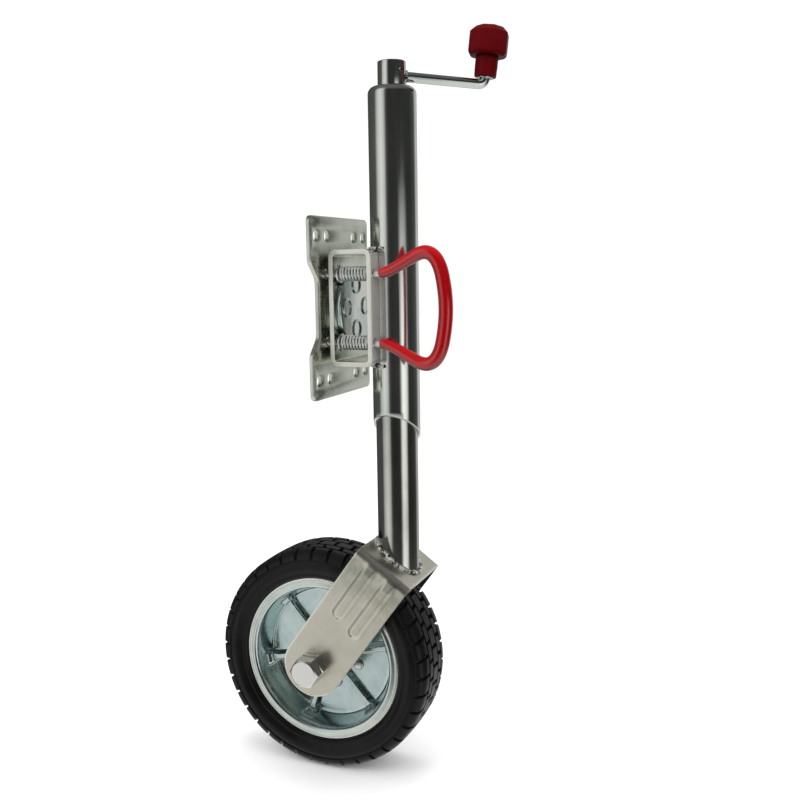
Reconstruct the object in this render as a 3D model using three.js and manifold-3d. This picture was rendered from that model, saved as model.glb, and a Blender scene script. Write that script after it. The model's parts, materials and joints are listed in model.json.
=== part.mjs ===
// Swing-up trailer tongue jack with a solid-tyred caster wheel.
// Frame, in millimetres: the origin is the centre of the mounting plate's back face, on the swivel pivot.
// +X runs from the plate to the jack tube, +Y to the side away from the pull handle, +Z up along the tube.
import * as THREE from "three";
import { mergeVertices } from "three/addons/utils/BufferGeometryUtils.js";
import Module from "manifold-3d";

const wasm = await Module();
wasm.setup();

// ---- driving dimensions ----
const GAP = 0.3; // clearance kept between neighbouring solids
const PLATE = { t: 5, halfY: 71, halfZ: 96, waistY: 54.5, waistZ: 30, flareZ: 48, corner: 7 };
const PLATE_HOLE = { r: 6.25, y: [33, 58], z: 75.5 };
const LOCK = { y: 36, z: 36, pinR: 4.5, holeR: 5 };
const BRACKET = { x0: 11.6, x1: 59.9, halfZ: 61, halfY: 45, t: 5, bend: 8 };
const PIVOT = { boreR: 34, bossR: 33.5, padR: 39, discR: 40, discX: 17, discT: 5.5 };
const RIVET = { circle: 24, r: 5, headR: 10.5, headT: 1.4, dimpleR: 8, dimpleT: 1.1 };
const TUBE = { x: 68, r: 25.5, wall: 2.5, top: 227.5, bottom: -132.4, shoulder: 8, capT: 4 };
const LEG = { r: 22.65, wall: 2.75, top: 58 };
const SCREW = { r: 9.5, neckR: 8, bottom: -75, collarR: 15, collarZ: 204, collarT: 5, top: 252 };
const NUT = { r: 19, flangeR: 22, bodyZ: 24, z: 36, flangeT: 7 };
const HUB = { r: 14.85, bore: 8.3, z0: 228, z1: 252.6 };
const ARM = { r: 5.3, z: 238.6, turn: 34, droop: 3.8, reach: 100, bend: 7, rise: 39 };
const KNOB = { seat: 7.3, neckR: 12, neckH: 21, headR: 21.5, headH: 30.5, chamfer: 6, bore: 5.9, boreDepth: 37, sides: 8, lean: 6.5 };
const FORK = { tilt: 36, legY: 50, t: 4.5, halfW: 35, web: 150, bend: 8 };
const AXLE = { x: -18, z: -397.6, r: 10, holeR: 10.4, across: 30, headT: 13, collarT: 9.4, nutT: 15 };
const WHEEL = { r: 128.5, halfW: 36, hubR: 15, hubHalf: 36 };
const RIM = { sheet: 2.6, discY: 2.9, discR: 75.5, wellR: 78.6, beadR: 87.4, lipR: 94.6, lipY: 30 };
const RIM_BOLT = { circle: 37.3, r: 4, headR: 5.5, headT: 2.8 };
const SPRING = { r: 8, wire: 2, turns: 10, x0: 22.3, x1: 54.6 };
const WASHER = { r: 9.5, t: 1.8, x: 20.2 };
const HANDLE = { coatR: 6.2, coatStart: 67, tipX: 5.3 };
const ROUND = 32; // facets round a large cylinder
const SMALL = 12; // facets round a small one

// ---- looks ----
const metal = (color, roughness) => new THREE.MeshStandardMaterial({ color, roughness, metalness: 1 });
const plastic = (color, roughness) => new THREE.MeshStandardMaterial({ color, roughness, metalness: 0 });
const LOOK = {
  zinc: metal(0xb9bdb2, 0.38),
  forkZinc: metal(0xb3b09f, 0.3),
  rimZinc: metal(0xa9bcbd, 0.25),
  chrome: metal(0xc9ccca, 0.12),
  steel: metal(0x9a9a96, 0.35),
  brass: metal(0xb5903f, 0.4),
  redGrip: plastic(0xc40d16, 0.25),
  redKnob: plastic(0xa5121b, 0.4),
  rubber: plastic(0x1b1b1d, 0.75),
  nylon: plastic(0xd9d6c8, 0.5),
};

// ---- geometry helpers ----
const radians = THREE.MathUtils.degToRad;

function signedVolume(geometry) {
  const p = geometry.getAttribute("position");
  const corner = (i) => new THREE.Vector3().fromBufferAttribute(p, geometry.index.getX(i));
  let six = 0;
  for (let i = 0; i < geometry.index.count; i += 3) six += corner(i).dot(corner(i + 1).cross(corner(i + 2)));
  return six / 6;
}

// Keeps positions only, joins shared vertices, and turns the faces outward.
function closed(geometry) {
  geometry.deleteAttribute("normal");
  geometry.deleteAttribute("uv");
  const merged = mergeVertices(geometry, 1e-4);
  if (signedVolume(merged) < 0) merged.setIndex([...merged.index.array].reverse());
  return merged;
}

function toSolid(geometry) {
  const merged = closed(geometry);
  const vertProperties = merged.getAttribute("position").array;
  const triVerts = new Uint32Array(merged.index.array);
  return new wasm.Manifold(new wasm.Mesh({ numProp: 3, vertProperties, triVerts }));
}

function fromSolid(solid) {
  const { vertProperties, triVerts } = solid.getMesh();
  const geometry = new THREE.BufferGeometry();
  geometry.setAttribute("position", new THREE.BufferAttribute(vertProperties, 3));
  return geometry.setIndex(new THREE.BufferAttribute(triVerts, 1));
}

const join = (first, ...rest) =>
  fromSolid(rest.reduce((sum, next) => sum.add(toSolid(next)), toSolid(first)));
const cut = (first, ...rest) =>
  fromSolid(rest.reduce((sum, next) => sum.subtract(toSolid(next)), toSolid(first)));
const common = (first, second) => fromSolid(toSolid(first).intersect(toSolid(second)));

// A profile of [radius, height] points turned about Z.
function lathe(profile, facets = ROUND) {
  const points = profile.map(([r, z]) => new THREE.Vector2(r, z));
  return closed(new THREE.LatheGeometry(points, facets).rotateX(Math.PI / 2));
}

// A ring or, with no inner radius, a disc about Z from z0 to z1.
function ring(outer, inner, z0, z1, facets = ROUND) {
  const profile = [[inner, z0], [outer, z0], [outer, z1], [inner, z1]];
  return lathe(inner > 0 ? [...profile, profile[0]] : profile, facets);
}

const alongX = (geometry) => geometry.rotateY(Math.PI / 2);
const alongY = (geometry) => geometry.rotateX(-Math.PI / 2);

// An outline of [a, b, radius] corners, each corner rounded to its radius.
function roundedShape(corners) {
  const points = corners.flatMap(([a, b, radius = 0], i) => {
    const here = new THREE.Vector2(a, b);
    if (!radius) return [here];
    const n = corners.length;
    const unit = ([u, v]) => new THREE.Vector2(u, v).sub(here).normalize();
    const back = unit(corners[(i + n - 1) % n]);
    const ahead = unit(corners[(i + 1) % n]);
    const half = back.angleTo(ahead) / 2;
    const centre = here.clone().addScaledVector(back.clone().add(ahead).normalize(), radius / Math.sin(half));
    const start = here.clone().addScaledVector(back, radius / Math.tan(half)).sub(centre);
    const sweep = Math.sign(ahead.cross(back)) * (Math.PI - 2 * half);
    const steps = Math.max(2, Math.ceil(Math.abs(sweep) / 0.55));
    const origin = new THREE.Vector2();
    return Array.from({ length: steps + 1 }, (_, k) =>
      start.clone().rotateAround(origin, (sweep * k) / steps).add(centre));
  });
  return new THREE.Shape(points);
}

function circle(a, b, r, facets = SMALL) {
  const turn = (k) => (k * 2 * Math.PI) / facets;
  const points = Array.from({ length: facets }, (_, k) =>
    new THREE.Vector2(a + r * Math.cos(turn(k)), b + r * Math.sin(turn(k))));
  return new THREE.Path(points);
}

function extrude(shape, depth) {
  return new THREE.ExtrudeGeometry(shape, { depth, bevelEnabled: false, curveSegments: 8 });
}

// A shape drawn in Y and Z, thickened from x0 to x1.
function slabX(shape, x0, x1) {
  const basis = new THREE.Matrix4().makeBasis(
    new THREE.Vector3(0, 1, 0), new THREE.Vector3(0, 0, 1), new THREE.Vector3(1, 0, 0));
  return extrude(shape, x1 - x0).applyMatrix4(basis).translate(x0, 0, 0);
}

// A shape drawn in X and Z, thickened from y0 to y1.
function slabY(shape, y0, y1) {
  return extrude(shape, y1 - y0).rotateX(Math.PI / 2).translate(0, y1, 0);
}

function hexagon(across) {
  const r = across / Math.sqrt(3);
  const corner = (k) => [r * Math.cos((k * Math.PI) / 3), r * Math.sin((k * Math.PI) / 3)];
  return roundedShape([0, 1, 2, 3, 4, 5].map(corner));
}

// A round bar swept along a curve; a bore makes it a sleeve.
function bar(curve, r, steps, facets, bore = 0) {
  const section = new THREE.Shape(circle(0, 0, r, facets).getPoints());
  if (bore) section.holes.push(circle(0, 0, bore, facets));
  return new THREE.ExtrudeGeometry(section, { steps, extrudePath: curve });
}

const vector = (x, y, z) => new THREE.Vector3(x, y, z);

// ---- mounting plate and pivot ----
const rivetPlaces = [0, 1, 2, 3].map((k) => {
  const a = (k * Math.PI) / 2;
  return [RIVET.circle * Math.cos(a), RIVET.circle * Math.sin(a)];
});
const rivetHoles = () => rivetPlaces.map(([y, z]) => circle(y, z, RIVET.r + GAP, 12));

function mountPlate() {
  const { halfY, halfZ, waistY, waistZ, flareZ, corner, t } = PLATE;
  const quarter = [[waistY, waistZ, 14], [halfY, flareZ, 10], [halfY, halfZ, corner]];
  const mirrored = (points, sy, sz) => points.map(([y, z, r]) => [sy * y, sz * z, r]);
  const reversed = [...quarter].reverse();
  const shape = roundedShape([
    ...mirrored(quarter, 1, 1), ...mirrored(reversed, -1, 1),
    ...mirrored(quarter, -1, -1), ...mirrored(reversed, 1, -1),
  ]);
  const bothSigns = (value) => [value, -value];
  const boltHoles = PLATE_HOLE.y.flatMap(bothSigns).flatMap((y) =>
    bothSigns(PLATE_HOLE.z).map((z) => circle(y, z, PLATE_HOLE.r, 12)));
  const lockHoles = bothSigns(LOCK.y).flatMap((y) =>
    bothSigns(LOCK.z).map((z) => circle(y, z, LOCK.holeR)));
  shape.holes.push(...boltHoles, ...lockHoles, ...rivetHoles());
  return slabX(shape, 0, t);
}

function pivotBoss() {
  const pad = new THREE.Shape(circle(0, 0, PIVOT.padR, ROUND).getPoints());
  const neck = new THREE.Shape(circle(0, 0, PIVOT.bossR, ROUND).getPoints());
  pad.holes.push(...rivetHoles());
  neck.holes.push(...rivetHoles());
  const step = BRACKET.x0 - GAP;
  return join(slabX(pad, PLATE.t, step), slabX(neck, step - 0.01, PIVOT.discX));
}

function pivotDisc() {
  const shape = new THREE.Shape(circle(0, 0, PIVOT.discR, ROUND).getPoints());
  shape.holes.push(...rivetHoles());
  return slabX(shape, PIVOT.discX, PIVOT.discX + PIVOT.discT);
}

function pivotRivet() {
  const headX = PIVOT.discX + PIVOT.discT;
  const topX = headX + RIVET.headT;
  return alongX(lathe([
    [0, 0], [RIVET.r, 0], [RIVET.r, headX + 0.02], [RIVET.headR, headX + 0.02],
    [RIVET.headR - 1, topX], [RIVET.dimpleR, topX], [RIVET.dimpleR - 1.5, topX - RIVET.dimpleT],
    [0, topX - RIVET.dimpleT],
  ], SMALL));
}

// ---- swinging bracket and outer tube ----
function swivelBracket() {
  const { x0, x1, halfZ, halfY, t, bend } = BRACKET;
  const loop = roundedShape([[x0, -halfZ, bend], [x1, -halfZ, bend], [x1, halfZ, bend], [x0, halfZ, bend]]);
  const [in0, in1, inZ, inner] = [x0 + t, x1 - t, halfZ - t, bend - t];
  loop.holes.push(roundedShape([[in0, -inZ, inner], [in0, inZ, inner], [in1, inZ, inner], [in1, -inZ, inner]]));
  const tube = ring(TUBE.r + GAP, 0, -halfZ - 5, halfZ + 5, ROUND).translate(TUBE.x, 0, 0);
  const bore = alongX(ring(PIVOT.boreR, 0, x0 - 1, in0 + 1));
  const pins = [LOCK.z, -LOCK.z].map((z) =>
    alongX(ring(LOCK.holeR, 0, x0 - 1, x1 + 1, SMALL)).translate(0, -LOCK.y, z));
  return cut(slabY(loop, -halfY, halfY), tube, bore, ...pins);
}

// The lower end is mitred at the fork's angle, so that the raised fork nests in it and can't swing.
function outerTube() {
  const { r, wall, top, bottom, shoulder, capT } = TUBE;
  const low = bottom - 40;
  const arc = [0, 1, 2, 3, 4].map((k) => {
    const a = (k * Math.PI) / 8;
    return [r - shoulder + shoulder * Math.cos(a), top - shoulder + shoulder * Math.sin(a)];
  });
  const hole = SCREW.neckR + 1.2;
  const profile = [
    [r - wall, low], [r, low], ...arc, [hole, top], [hole, top - capT],
    [r - wall - 3, top - capT], [r - wall, top - shoulder], [r - wall, low],
  ];
  const wedge = new THREE.BoxGeometry(200, 200, 100).translate(0, 0, -50);
  wedge.rotateX(-radians(FORK.tilt)).translate(0, 0, bottom);
  return cut(lathe(profile, ROUND), wedge);
}

// ---- crank, screw and bearing ----
const bearingZ = SCREW.collarZ + SCREW.collarT;
const race = (z) => ring(15, SCREW.neckR + 0.5, z, z + 3.2);

function bearingBalls() {
  const circleR = 12;
  const ballR = 2.5;
  const z = bearingZ + 3.3 + ballR;
  const cage = ring(circleR + 1.3, circleR - 1.3, z - 0.8, z + 0.8, SMALL);
  const balls = Array.from({ length: 8 }, (_, k) => {
    const a = (k * 2 * Math.PI) / 8;
    const ball = new THREE.IcosahedronGeometry(ballR, 0);
    return ball.translate(circleR * Math.cos(a), circleR * Math.sin(a), z);
  });
  return join(cage, ...balls);
}

function driveScrew() {
  const { r, neckR, bottom, collarR, collarZ, collarT, top } = SCREW;
  const shaft = lathe([
    [0, bottom], [r - 2, bottom], [r, bottom + 2], [r, collarZ], [collarR, collarZ],
    [collarR, collarZ + collarT], [neckR, collarZ + collarT], [neckR, top], [0, top],
  ], 20);
  return cut(shaft, armHole(), hubPinHole());
}

// The crank arm passes through the hub and the screw's neck.
const armTurn = (geometry) => geometry.rotateZ(radians(ARM.turn));
const armHole = () => {
  const drill = alongX(ring(ARM.r + 0.4, 0, -30, 30, SMALL));
  return armTurn(drill.rotateY(radians(ARM.droop)).translate(0, 0, ARM.z));
};
// A short hollow pin locks the hub to the screw's neck, and stops short of the arm.
const PIN = { r: 2.6, bore: 1.4, from: 7.6, to: 14.2, z: 242.5, turn: -30 };
const radial = (geometry) => alongX(geometry).rotateZ(radians(PIN.turn)).translate(0, 0, PIN.z);
const hubPin = () => radial(ring(PIN.r, PIN.bore, PIN.from, PIN.to, 14));
const hubPinHole = () => radial(ring(PIN.r + 0.2, 0, PIN.from - 0.4, PIN.to + 15, 14));

function crankHub() {
  const { r, bore, z0, z1 } = HUB;
  const body = lathe([
    [bore, z0], [r, z0], [r, z1 - 1], [r - 1, z1], [bore, z1], [bore, z0],
  ], 24);
  return cut(body, armHole(), hubPinHole());
}

// The arm runs out from the hub, drooping a little, then turns up through the knob.
function armCurve() {
  const { reach, bend, rise, droop, z } = ARM;
  const slope = radians(droop);
  const along = vector(Math.cos(slope), 0, -Math.sin(slope));
  const up = vector(Math.sin(radians(KNOB.lean)), 0, Math.cos(radians(KNOB.lean)));
  const corner = vector(0, 0, z).addScaledVector(along, reach);
  const path = new THREE.CurvePath();
  const inside = vector(0, 0, z).addScaledVector(along, -11);
  const start = corner.clone().addScaledVector(along, -bend);
  const end = corner.clone().addScaledVector(up, bend);
  const tip = corner.clone().addScaledVector(up, rise);
  path.add(new THREE.LineCurve3(inside, start));
  path.add(new THREE.QuadraticBezierCurve3(start, corner, end));
  path.add(new THREE.LineCurve3(end, tip));
  return { path, corner, up };
}

const crankArm = () => armTurn(bar(armCurve().path, ARM.r, 18, 10));

function crankKnob() {
  const { neckR, neckH, headR, headH, chamfer, bore, boreDepth, sides } = KNOB;
  const top = neckH + headH;
  const neck = lathe([[0, 0], [neckR - 1, 0], [neckR, 1], [neckR, neckH + 1], [0, neckH + 1]], 24);
  const head = lathe([
    [0, neckH], [headR - 3, neckH], [headR, neckH + 4], [headR, top - chamfer],
    [headR - chamfer, top], [0, top],
  ], sides);
  return cut(join(neck, head), ring(bore, 0, -1, boreDepth, 16));
}

// Puts a piece made about the spindle in its place on the arm's upturned end.
function onSpindle(geometry, along) {
  const { corner, up } = armCurve();
  const base = corner.clone().addScaledVector(up, along);
  geometry.rotateY(radians(KNOB.lean)).translate(base.x, base.y, base.z);
  return armTurn(geometry);
}

// ---- nut and inner tube ----
const liftNut = () => lathe([
  [SCREW.r + 0.4, NUT.z], [NUT.r, NUT.z], [NUT.r, NUT.z + NUT.bodyZ], [NUT.flangeR, NUT.z + NUT.bodyZ],
  [NUT.flangeR, NUT.z + NUT.bodyZ + NUT.flangeT], [SCREW.r + 0.4, NUT.z + NUT.bodyZ + NUT.flangeT],
  [SCREW.r + 0.4, NUT.z],
], 24);

const nutRing = () => ring(LEG.r - LEG.wall - GAP, NUT.r - 3, NUT.z - 4.5, NUT.z - GAP, 24);

function innerTube() {
  const low = AXLE.z + 60;
  const tube = ring(LEG.r, LEG.r - LEG.wall, low, LEG.top, ROUND).translate(TUBE.x, 0, 0);
  const below = new THREE.BoxGeometry(400, 200, 300).translate(0, 0, FORK.web + GAP - 150);
  return cut(tube, onFork(below));
}

// ---- fork: drawn about the axle with its legs up, then tilted back ----
const onFork = (geometry) => geometry.rotateY(radians(FORK.tilt)).translate(AXLE.x, 0, AXLE.z);

function fork() {
  const { legY, t, halfW, web, bend } = FORK;
  const low = -halfW - 5;
  const channel = roundedShape([
    [-legY, low], [-legY + t, low], [-legY + t, web - t, bend - t], [legY - t, web - t, bend - t],
    [legY - t, low], [legY, low], [legY, web, bend], [-legY, web, bend],
  ]);
  const bent = slabX(channel, -halfW, halfW);
  const side = new THREE.Shape();
  side.moveTo(halfW, 0).lineTo(halfW, web + 5).lineTo(-halfW, web + 5).lineTo(-halfW, 0);
  side.absarc(0, 0, halfW, Math.PI, 2 * Math.PI, false);
  side.holes.push(circle(0, 0, AXLE.holeR, 18));
  const ribs = [[-11.5, 74], [15, 69]].flatMap(([x, z]) => [-1, 1].map((s) => forkRib(x, z, s)));
  return onFork(join(common(bent, slabY(side, -legY - 5, legY + 5)), ...ribs));
}

// One stiffening rib, pressed out of a leg from the fold to about half-way down.
function forkRib(x, z0, side) {
  const [halfW, z1, height] = [6, 140, 1.8];
  const shape = roundedShape([
    [x - halfW, z0, halfW - 0.1], [x + halfW, z0, halfW - 0.1],
    [x + halfW, z1, halfW - 0.1], [x - halfW, z1, halfW - 0.1],
  ]);
  const [y0, y1] = [side * (FORK.legY - 1), side * (FORK.legY + height)];
  return slabY(shape, Math.min(y0, y1), Math.max(y0, y1));
}

// ---- axle: a bolt from the near side, with a nut on the far side ----
const legFace = FORK.legY;
const washerT = 3;
const headY = -(legFace + AXLE.collarT + 2 * 0.2);
const nutY = legFace + washerT + 2 * 0.2;

function axleBolt() {
  const head = slabY(hexagon(AXLE.across), headY - AXLE.headT, headY);
  const crown = alongY(lathe([
    [0, headY - AXLE.headT], [AXLE.across / 2 - 0.6, headY - AXLE.headT],
    [AXLE.across / 2 + 3, headY - AXLE.headT + 2.2], [AXLE.across / 2 + 3, headY + 1], [0, headY + 1],
  ], 24));
  const shank = alongY(ring(AXLE.r, 0, headY - 1, 70.5, 18));
  return join(common(head, crown), shank);
}

const axleNut = () => cut(
  slabY(hexagon(AXLE.across), nutY, nutY + AXLE.nutT),
  alongY(ring(AXLE.r + GAP, 0, nutY - 1, nutY + AXLE.nutT + 1, 18)));

const axleRing = (outer, y0, y1) => alongY(ring(outer, AXLE.r + GAP, y0, y1, 18));

// A six-sided collar of the bolt head's own size, between the head and the leg.
const axleCollar = () => cut(
  slabY(hexagon(AXLE.across), headY + 0.2, -legFace - 0.2),
  alongY(ring(AXLE.r + GAP, 0, headY - 1, -legFace + 1, 18)));

// ---- wheel ----
// One pressed rim half: flat disc, conical well and rolled lip. The two discs meet in mid-wheel.
function rimHalf(side) {
  const { sheet, discY, discR, wellR, beadR, lipR, lipY } = RIM;
  const bore = WHEEL.hubR + GAP;
  const tyreSide = [
    [bore, discY - sheet], [wellR, discY - sheet],
    [beadR, lipY - sheet], [lipR - 0.8, lipY - sheet], [lipR, lipY - 1.6],
  ];
  const openSide = [
    [lipR - 1.2, lipY], [beadR - 1.5, lipY], [beadR - 3, lipY - 1.5], [discR, discY], [bore, discY],
  ];
  const dish = alongY(lathe([...tyreSide, ...openSide, tyreSide[0]], ROUND));
  const holes = rimBoltPlaces.map(([x, z]) =>
    alongY(ring(RIM_BOLT.r + GAP, 0, -10, 10, 10)).translate(side * x, 0, z));
  const half = cut(dish, ...holes);
  return side < 0 ? half.rotateZ(Math.PI) : half;
}

const rimBoltPlaces = [0, 1, 2, 3, 4, 5].map((k) => {
  const a = radians(42 + 60 * k);
  return [RIM_BOLT.circle * Math.cos(a), RIM_BOLT.circle * Math.sin(a)];
});

function rimRivet() {
  const { r, headR, headT } = RIM_BOLT;
  const face = RIM.discY + 0.1;
  return alongY(lathe([
    [0, -face - headT], [headR - 2, -face - headT], [headR, -face - 1], [headR, -face], [r, -face],
    [r, face], [headR, face], [headR, face + 1], [headR - 2, face + headT], [0, face + headT],
  ], 10));
}

function tyre() {
  const { r, halfW } = WHEEL;
  const { wellR, beadR, lipR, lipY, sheet, discY } = RIM;
  const half = [
    [wellR + 0.8, discY - sheet + 0.4], [beadR + 0.6, lipY - sheet - 0.4], [lipR + 0.6, lipY - sheet - 0.4],
    [lipR + 1, lipY + 0.5], [103, halfW - 1], [112, halfW], [120, halfW - 1], [r - 3, halfW - 4.5],
    [r - 0.6, halfW - 12], [r, halfW - 22],
  ];
  const mirrored = [...half].reverse().map(([a, b]) => [a, -b]);
  return alongY(lathe([...half, ...mirrored, half[0]], 36));
}

const hubTube = () => alongY(ring(WHEEL.hubR, 12.4, -WHEEL.hubHalf, WHEEL.hubHalf, 20));

// A flanged nylon bush pressed into each end of the hub tube.
function hubBush() {
  const end = WHEEL.hubHalf;
  return alongY(lathe([
    [AXLE.r + 0.25, end - 16], [12.1, end - 16], [12.1, end + GAP], [16, end + GAP], [16, end + 3],
    [AXLE.r + 0.25, end + 3], [AXLE.r + 0.25, end - 16],
  ], 24));
}

const spacerStart = WHEEL.hubHalf + 3 + GAP;
const axleSpacer = () => axleRing(14, spacerStart, legFace - FORK.t - 0.2);

// ---- pull handle and its two lock pins ----
// Half of the handle's centreline in X and Z, from a pin's bare shank round to the middle of the grip.
const handleHalf = [
  [72, 37.2], [86, 43], [98, 49.6], [110, 55.6], [119, 56.4], [127, 51], [133, 39], [136.8, 19],
];

function handleCurve() {
  const y = -LOCK.y;
  const upper = [[HANDLE.tipX, LOCK.z], [60, LOCK.z], ...handleHalf];
  const lower = [...upper].reverse().map(([x, z]) => [x, -z]);
  const points = [...upper, [138, 0], ...lower].map(([x, z]) => vector(x, y, z));
  return new THREE.CatmullRomCurve3(points, false, "centripetal");
}

const HANDLE_STEPS = 48;
const handleRod = () => bar(handleCurve(), LOCK.pinR, HANDLE_STEPS, 8);

// The grip is a dipped sleeve over the rod's bow, from just outside the bracket.
function handleGrip() {
  const sleeve = bar(handleCurve(), HANDLE.coatR, HANDLE_STEPS, 8, LOCK.pinR + 0.6);
  const dipped = new THREE.BoxGeometry(200, 100, 300).translate(HANDLE.coatStart + 100, -LOCK.y, 0);
  return common(sleeve, dipped);
}

function springWasherRing() {
  return alongX(ring(WASHER.r, LOCK.pinR + GAP, WASHER.x, WASHER.x + WASHER.t, SMALL));
}

class Helix extends THREE.Curve {
  getPoint(t, target = new THREE.Vector3()) {
    const a = t * SPRING.turns * 2 * Math.PI;
    const r = SPRING.r - SPRING.wire / 2;
    const first = SPRING.x0 + SPRING.wire / 2;
    const x = first + t * (SPRING.x1 - SPRING.wire / 2 - first);
    return target.set(x, r * Math.cos(a), r * Math.sin(a));
  }
}

const pinSpring = () => bar(new Helix(), SPRING.wire / 2, SPRING.turns * 8, 4);

// ---- assembly ----
const jack = new THREE.Group();

function addTo(parent, name, geometry, look, place = [0, 0, 0], turn = [0, 0, 0]) {
  const mesh = new THREE.Mesh(geometry, look);
  mesh.name = name;
  mesh.position.set(...place);
  mesh.rotation.set(...turn);
  mesh.geometry.computeVertexNormals();
  parent.add(mesh);
}

function addMountParts() {
  addTo(jack, "mount_plate", mountPlate(), LOOK.zinc);
  addTo(jack, "pivot_boss", pivotBoss(), LOOK.zinc);
  addTo(jack, "pivot_disc", pivotDisc(), LOOK.rimZinc);
  rivetPlaces.forEach(([y, z], i) => addTo(jack, `pivot_rivet_${i + 1}`, pivotRivet(), LOOK.steel, [0, y, z]));
}

function addTubeParts(tube) {
  addTo(jack, "swivel_bracket", swivelBracket(), LOOK.zinc);
  addTo(tube, "outer_tube", outerTube(), LOOK.chrome);
  addTo(tube, "bearing_race_upper", race(bearingZ + 8.4), LOOK.steel);
  addTo(tube, "bearing_balls", bearingBalls(), LOOK.steel);
  addTo(tube, "bearing_race_lower", race(bearingZ + 0.05), LOOK.steel);
}

function addCrankParts(tube) {
  addTo(tube, "drive_screw", driveScrew(), LOOK.steel);
  addTo(tube, "crank_hub", crankHub(), LOOK.chrome);
  addTo(tube, "hub_pin", hubPin(), LOOK.steel);
  addTo(tube, "crank_arm", crankArm(), LOOK.chrome);
  addTo(tube, "crank_knob", onSpindle(crankKnob(), KNOB.seat), LOOK.redKnob);
  addTo(tube, "knob_washer", onSpindle(ring(9, ARM.r + 0.6, 0, 0.8, SMALL), KNOB.seat - 1), LOOK.steel);
}

function addLegParts(tube) {
  addTo(tube, "lift_nut", liftNut(), LOOK.brass);
  addTo(tube, "nut_ring", nutRing(), LOOK.steel);
  addTo(jack, "inner_tube", innerTube(), LOOK.chrome);
  addTo(jack, "fork", fork(), LOOK.forkZinc);
}

function addAxleParts(axle) {
  const far = [0, 0, Math.PI];
  addTo(axle, "axle_bolt", axleBolt(), LOOK.chrome);
  addTo(axle, "axle_collar", axleCollar(), LOOK.steel);
  addTo(axle, "axle_washer_far", axleRing(17, 0, washerT), LOOK.zinc, [0, legFace + 0.2, 0]);
  addTo(axle, "axle_nut", axleNut(), LOOK.chrome);
  addTo(axle, "axle_spacer_near", axleSpacer(), LOOK.zinc, [0, 0, 0], far);
  addTo(axle, "axle_spacer_far", axleSpacer(), LOOK.zinc);
}

function addWheelParts(axle) {
  const far = [0, 0, Math.PI];
  addTo(axle, "tyre", tyre(), LOOK.rubber);
  addTo(axle, "rim_near", rimHalf(-1), LOOK.rimZinc);
  addTo(axle, "rim_far", rimHalf(1), LOOK.rimZinc);
  addTo(axle, "hub_tube", hubTube(), LOOK.zinc);
  addTo(axle, "hub_bush_near", hubBush(), LOOK.nylon, [0, 0, 0], far);
  addTo(axle, "hub_bush_far", hubBush(), LOOK.nylon);
  rimBoltPlaces.forEach(([x, z], i) => addTo(axle, `rim_rivet_${i + 1}`, rimRivet(), LOOK.zinc, [x, 0, z]));
}

function addHandleParts() {
  addTo(jack, "handle_rod", handleRod(), LOOK.chrome);
  addTo(jack, "handle_grip", handleGrip(), LOOK.redGrip);
  [["upper", LOCK.z], ["lower", -LOCK.z]].forEach(([side, z]) => {
    addTo(jack, `pin_washer_${side}`, springWasherRing(), LOOK.zinc, [0, -LOCK.y, z]);
    addTo(jack, `pin_spring_${side}`, pinSpring(), LOOK.chrome, [0, -LOCK.y, z]);
  });
}

const tubeGroup = new THREE.Group();
tubeGroup.position.set(TUBE.x, 0, 0);
const axleGroup = new THREE.Group();
axleGroup.position.set(AXLE.x, 0, AXLE.z);
jack.add(tubeGroup, axleGroup);

addMountParts();
addTubeParts(tubeGroup);
addCrankParts(tubeGroup);
addLegParts(tubeGroup);
addAxleParts(axleGroup);
addWheelParts(axleGroup);
addHandleParts();

export default jack;
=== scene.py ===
"""Looks for the trailer tongue jack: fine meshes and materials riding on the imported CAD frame."""

import json
import math
from contextlib import contextmanager

import bmesh
import bpy
from mathutils import Matrix, Vector, noise


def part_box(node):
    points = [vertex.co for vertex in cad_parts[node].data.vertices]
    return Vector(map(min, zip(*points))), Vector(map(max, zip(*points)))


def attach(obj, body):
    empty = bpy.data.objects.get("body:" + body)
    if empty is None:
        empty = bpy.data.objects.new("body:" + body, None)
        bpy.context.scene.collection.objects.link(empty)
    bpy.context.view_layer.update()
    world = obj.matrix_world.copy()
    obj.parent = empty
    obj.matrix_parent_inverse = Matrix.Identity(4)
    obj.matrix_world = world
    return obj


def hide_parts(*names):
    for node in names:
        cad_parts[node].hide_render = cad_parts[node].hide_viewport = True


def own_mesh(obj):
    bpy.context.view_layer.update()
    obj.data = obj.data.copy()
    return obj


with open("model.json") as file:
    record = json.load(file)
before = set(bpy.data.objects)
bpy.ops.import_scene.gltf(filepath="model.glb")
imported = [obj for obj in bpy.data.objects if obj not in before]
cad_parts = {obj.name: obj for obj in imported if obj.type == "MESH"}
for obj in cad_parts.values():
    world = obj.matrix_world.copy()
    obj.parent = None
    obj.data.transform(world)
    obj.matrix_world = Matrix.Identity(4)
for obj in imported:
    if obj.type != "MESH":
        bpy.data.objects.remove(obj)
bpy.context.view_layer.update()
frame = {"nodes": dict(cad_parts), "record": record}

MM = 0.001
TAU = 2 * math.pi


# ---- where things are, read from the frame ----
def middle(node):
    low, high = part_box(node)
    return (low + high) / 2


def extent(node):
    low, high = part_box(node)
    return high - low


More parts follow.
